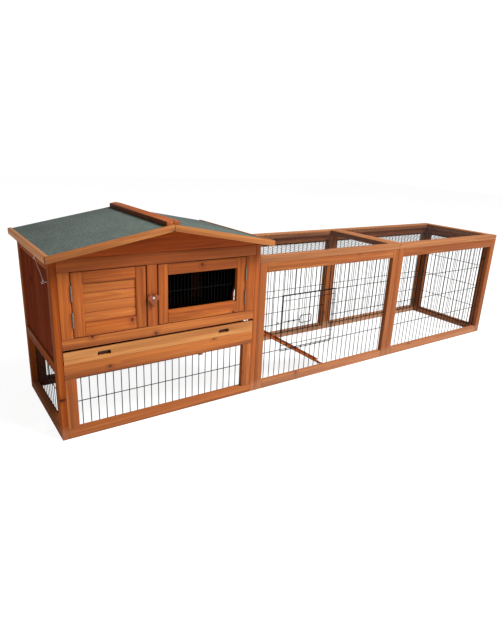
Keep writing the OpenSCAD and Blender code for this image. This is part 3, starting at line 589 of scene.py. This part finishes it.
for seed, (node, (finish, slotName, edge)) in enumerate(woodwork.items(), firstSeed):
    boards = dressTimber(node, finish, slotName, edge, seed)
    if node in shadedInnerSides:
        paintInsideShade(boards, shadedInnerSides[node])
print("timber dressed:", len(woodwork), "pieces")


# Felt, wire, plated steel and enamel. Scales are repeats to the metre.

feltLook = {
    "dark": (54, 66, 62),
    "mid": (82, 94, 88),
    "pale": (132, 142, 134),
    "warm": (112, 100, 92),
    "granules": 520.0,
    "darkEdge": (0.20, 0.55),
    "darkShare": 0.85,
    "paleEdge": (0.72, 1.0),
    "paleShare": 0.8,
    "warmEdge": (0.82, 0.95),
    "warmShare": 0.6,
    "cloudScale": 5.0,
    "cloudEdge": (0.38, 0.72),
    "cloudShare": 0.34,
    "patchScale": 34.0,
    "patchEdge": (0.55, 0.80),
    "patchShare": 0.16,
    "gritScale": 1400.0,
    "domeHeight": 0.8,
    "gritHeight": 0.4,
    "patchHeight": 0.5,
    "roughness": 0.82,
    "roughnessSpread": 0.12,
    "gloss": 0.3,
    "bump": (0.7, 0.0008),
    "edge": 0.0006,
}


def makeFelt(look):
    material, start = startMaterial("mineralFelt")
    place = start.node("TexCoord", output="Object")
    granule = place.cells(look["granules"], "Color")
    chance = granule.part("X")
    other = granule.part("Y")
    dome = 1.0 - place.cells(look["granules"])
    cloud = place.noise(look["cloudScale"], 4.0, 0.6)
    patch = place.noise(look["patchScale"], 3.0, 0.6)
    grit = place.noise(look["gritScale"])
    dark, pale, warm = (screenColour(*look[key]) for key in ("dark", "pale", "warm"))
    colour = start.paint(look["mid"])
    colour = colour.tint(dark, (1.0 - chance.step(*look["darkEdge"])) * look["darkShare"])
    colour = colour.tint(pale, chance.step(*look["paleEdge"]) * look["paleShare"])
    colour = colour.tint(warm, other.step(*look["warmEdge"]) * look["warmShare"])
    colour = colour.tint(dark, cloud.step(*look["cloudEdge"]) * look["cloudShare"])
    colour = colour.tint(pale, patch.step(*look["patchEdge"]) * look["patchShare"])
    height = dome * look["domeHeight"] + grit * look["gritHeight"] + patch * look["patchHeight"]
    roughness = look["roughness"] + chance * look["roughnessSpread"]
    closeMaterial(start, {"Specular IOR Level": look["gloss"]}, colour, roughness, height, look["bump"])
    return material


wireLooks = {
    "blackWire": {
        "fresh": (9, 9, 10), "worn": (24, 24, 27), "metallic": 0.0, "gloss": 0.15, "roughness": 0.46,
    },
    "netWire": {
        "fresh": (16, 17, 22), "worn": (34, 36, 44), "metallic": 0.0, "gloss": 0.15, "roughness": 0.46,
    },
    "zincPlate": {
        "fresh": (214, 212, 216), "worn": (150, 148, 152), "metallic": 0.75, "gloss": 0.5, "roughness": 0.30,
    },
    "hingeSteel": {
        "fresh": (128, 120, 112), "worn": (92, 84, 78), "metallic": 0.75, "gloss": 0.5, "roughness": 0.42,
    },
}

wireWear = {
    "mottleScale": 90.0,
    "mottleEdge": (0.45, 0.75),
    "mottleShare": 0.5,
    "speckScale": 700.0,
    "speckEdge": (0.6, 0.8),
    "speckShare": 0.2,
    "roughnessSpread": 0.18,
    "bump": (0.15, 0.0002),
}


def makeWire(name, look):
    wear = wireWear
    material, start = startMaterial(name)
    place = start.node("TexCoord", output="Object")
    mottle = place.noise(wear["mottleScale"], 3.0, 0.6)
    speck = place.noise(wear["speckScale"])
    rubbed = mottle.step(*wear["mottleEdge"]) * wear["mottleShare"]
    rubbed = rubbed + speck.step(*wear["speckEdge"]) * wear["speckShare"]
    shade = start.paint(look["fresh"]).tint(screenColour(*look["worn"]), rubbed)
    settings = {"Metallic": look["metallic"], "Specular IOR Level": look["gloss"]}
    roughness = look["roughness"] + mottle * wear["roughnessSpread"]
    closeMaterial(start, settings, shade, roughness, speck, wear["bump"])
    return material


enamelLook = {
    "deep": (70, 34, 20),
    "light": (96, 50, 30),
    "cloudScale": 26.0,
    "cloudEdge": (0.42, 0.78),
    "cloudShare": 0.6,
    "peelScale": 900.0,
    "roughness": 0.42,
    "roughnessSpread": 0.2,
    "bump": (0.12, 0.0002),
}


def makeEnamel(look):
    material, start = startMaterial("panEnamel")
    place = start.node("TexCoord", output="Object")
    cloud = place.noise(look["cloudScale"], 3.0, 0.6)
    peel = place.noise(look["peelScale"])
    lighter = cloud.step(*look["cloudEdge"]) * look["cloudShare"]
    colour = start.paint(look["deep"]).tint(screenColour(*look["light"]), lighter)
    roughness = look["roughness"] + cloud * look["roughnessSpread"]
    closeMaterial(start, {}, colour, roughness, peel, look["bump"])
    return material


finishes = {name: makeWire(name, look) for name, look in wireLooks.items()}
finishes["panEnamel"] = makeEnamel(enamelLook)
finishes["mineralFelt"] = makeFelt(feltLook)


def dressFelt():
    piece = copyNode("roof_felt", "roofFeltSheet")
    roundEdges(piece, feltLook["edge"])
    piece.data.materials.append(finishes["mineralFelt"])
    handOver(piece, "roof_felt", "felt")


dressFelt()

# CAD nodes that keep their own meshes
plating = {
    "zincPlate": [
        "wall_screw_eyes", "roof_screw_eyes", "left_roof_hook", "right_roof_hook", "turn_button_screw",
    ],
    "hingeSteel": [
        "roof_hinge_lower_leaves", "roof_hinge_upper_leaves", "door_hinge_post_leaves",
        "left_door_hinge_leaves", "right_door_hinge_leaves", "ramp_hinge_wall_leaves", "ramp_hinge_leaves",
    ],
    "blackWire": ["right_door_mesh", "wire_door_rings", "wire_door_latch", "latch_keeper"],
    "panEnamel": ["tray_pan"],
}
for finish, members in plating.items():
    for node in members:
        for slot in nodes[node].material_slots:
            slot.material = finishes[finish]
print("felt, wire and plated pieces finished")


# Welded wire panels, and the depth of the black coating on their wires, in metres
coating = {
    "left_side_mesh": 0.0004,
    "back_mesh": 0.0004,
    "lower_front_mesh": 0.0007,
    "run_front_mesh_1": 0.0007,
    "run_front_mesh_2": 0.0007,
    "run_back_meshes": 0.0007,
    "run_end_mesh": 0.0007,
    "wire_door": 0.0003,
}


def coatWire(node, depth):
    piece = copyNode(node, camelName(node, "Coated"))
    takeUp(piece)
    coat = piece.modifiers.new("coat", "DISPLACE")
    coat.strength = depth
    coat.mid_level = 0.0
    bpy.ops.object.modifier_apply(modifier=coat.name)
    bpy.ops.object.shade_smooth_by_angle(angle=math.radians(meshFinish["wireSmoothBelow"]))
    piece.data.materials.append(finishes["blackWire"])
    handOver(piece, node, "black_wire")


for node, depth in coating.items():
    coatWire(node, depth)
print("wire panels coated:", len(coating))


# Hexagonal netting over the run: two twists and four slanting wires make one unit, which is repeated
# over the frame and trimmed at its edges.

nettingLook = {
    "cell": 0.0231,
    "twist": 0.0090,
    "twistWire": 0.0021,
    "slantWire": 0.0012,
    "wireSides": 4,
}


def addStrand(start, end, width):
    # a length of wire between two points
    line = Vector(end) - Vector(start)
    bpy.ops.mesh.primitive_cylinder_add(
        vertices=nettingLook["wireSides"], radius=width / 2, depth=line.length,
        location=(Vector(start) + Vector(end)) / 2, rotation=line.to_track_quat("Z", "Y").to_euler(),
    )
    return bpy.context.object


def repeatUnit(piece, count, spacing):
    array = piece.modifiers.new("repeat", "ARRAY")
    array.count = count
    array.use_relative_offset = False
    array.use_constant_offset = True
    array.constant_offset_displace = spacing
    bpy.ops.object.modifier_apply(modifier=array.name)


def weaveNet(node, name, look):
    low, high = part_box(node)
    wide = high.x - low.x
    deep = high.y - low.y
    rows = round(deep / look["cell"])
    pitch = deep / rows
    columns = round(wide / (pitch * math.sqrt(3)))
    run = wide / columns
    half = run / 2
    twist = look["twist"]
    front = pitch / 4
    rear = pitch * 3 / 4
    level = (low.z + high.z) / 2
    clearSelection()
    strands = [
        addStrand((0, front, 0), (twist, front, 0), look["twistWire"]),
        addStrand((half, rear, 0), (half + twist, rear, 0), look["twistWire"]),
        addStrand((twist, front, 0), (half, rear, 0), look["slantWire"]),
        addStrand((twist, front, 0), (half, rear - pitch, 0), look["slantWire"]),
        addStrand((half + twist, rear, 0), (run, front, 0), look["slantWire"]),
        addStrand((half + twist, rear, 0), (run, front + pitch, 0), look["slantWire"]),
    ]
    clearSelection()
    for strand in strands:
        strand.select_set(True)
    piece = strands[0]
    bpy.context.view_layer.objects.active = piece
    bpy.ops.object.join()
    bpy.ops.object.transform_apply(location=True, rotation=True, scale=True)
    piece.name = name
    piece.data.name = name
    repeatUnit(piece, columns, (run, 0, 0))
    repeatUnit(piece, rows, (0, pitch, 0))
    piece.data.transform(Matrix.Translation((low.x, low.y, level)))
    trimNet(piece, low, high)
    piece.data.materials.append(finishes["netWire"])
    handOver(piece, node, "black_wire")
    print("net woven:", name, columns * rows, "units")


def trimNet(piece, low, high):
    takeUp(piece)
    bpy.ops.object.mode_set(mode="EDIT")
    for corner, normal in ((low, (-1, 0, 0)), (low, (0, -1, 0)), (high, (1, 0, 0)), (high, (0, 1, 0))):
        bpy.ops.mesh.select_all(action="SELECT")
        bpy.ops.mesh.bisect(plane_co=corner, plane_no=normal, clear_outer=True, use_fill=True)
    bpy.ops.object.mode_set(mode="OBJECT")


weaveNet("run_top_net_1", "runTopNetting1", nettingLook)
weaveNet("run_top_net_2", "runTopNetting2", nettingLook)


# Floor, light and backdrop

studio = {
    "floorSize": 30,
    "floorDrop": 0.0006,
    "floorColour": (236, 236, 234),
    "smudgeGrey": (0.7, 0.7, 0.7, 1.0),
    "smudgeScale": 3.0,
    "smudgeEdge": (0.3, 0.9),
    "smudgeShare": 0.05,
    "white": (1.0, 1.0, 1.0, 1.0),
    "floorGlow": 1.3,
    "glowShare": 0.70,
    "keyPlace": (1.6, -2.9, 5.4),
    "keyAim": (-0.2, 0.0, 0.35),
    "keySize": 3.0,
    "keyPower": 620,
    "skyStrength": 0.26,
    "backdropStrength": 1.0,
}


def layFloor(look):
    clearSelection()
    bpy.ops.mesh.primitive_plane_add(size=look["floorSize"], location=(0, 0, -look["floorDrop"]))
    floor = bpy.context.object
    floor.name = "studioFloor"
    bpy.ops.object.transform_apply(location=True, rotation=True, scale=True)
    material, start = startMaterial("paleFloor")
    place = start.node("TexCoord", output="Object")
    smudge = place.noise(look["smudgeScale"], 3.0).step(*look["smudgeEdge"]) * look["smudgeShare"]
    colour = start.paint(look["floorColour"]).tint(look["smudgeGrey"], smudge)
    matte = start.node("BsdfDiffuse", None, {"Color": colour})
    glow = start.node("Emission", None, {"Color": look["white"], "Strength": look["floorGlow"]})
    seen = start.node("LightPath", output="Is Camera Ray")
    mixed = start.node("MixShader", None, {0: seen * look["glowShare"], 1: matte, 2: glow})
    linkSurface(start, mixed)
    floor.data.materials.append(material)


def setLight(look):
    clearSelection()
    bpy.ops.object.light_add(type="AREA", location=look["keyPlace"])
    key = bpy.context.object
    key.name = "keyLight"
    key.data.shape = "SQUARE"
    key.data.size = look["keySize"]
    key.data.energy = look["keyPower"]
    aim = Vector(look["keyAim"]) - Vector(look["keyPlace"])
    key.rotation_euler = aim.to_track_quat("-Z", "Y").to_euler()

    world = bpy.data.worlds.new("whiteStudio")
    world.use_nodes = True
    world.node_tree.nodes.clear()
    start = Strand(world.node_tree)
    seen = start.node("LightPath", output="Is Camera Ray")
    clear = start.node("LightPath", output="Is Transmission Ray")
    backdrop = start.maths("MAXIMUM", seen, clear)
    soft = start.node("Background", None, {"Color": look["white"], "Strength": look["skyStrength"]})
    plain = start.node("Background", None, {"Color": look["white"], "Strength": look["backdropStrength"]})
    mixed = start.node("MixShader", None, {0: backdrop, 1: soft, 2: plain})
    output = start.tree.nodes.new("ShaderNodeOutputWorld")
    start.tree.links.new(mixed.socket, output.inputs["Surface"])
    bpy.context.scene.world = world


layFloor(studio)
setLight(studio)
bpy.context.scene.view_settings.view_transform = "Standard"
print("studio set")
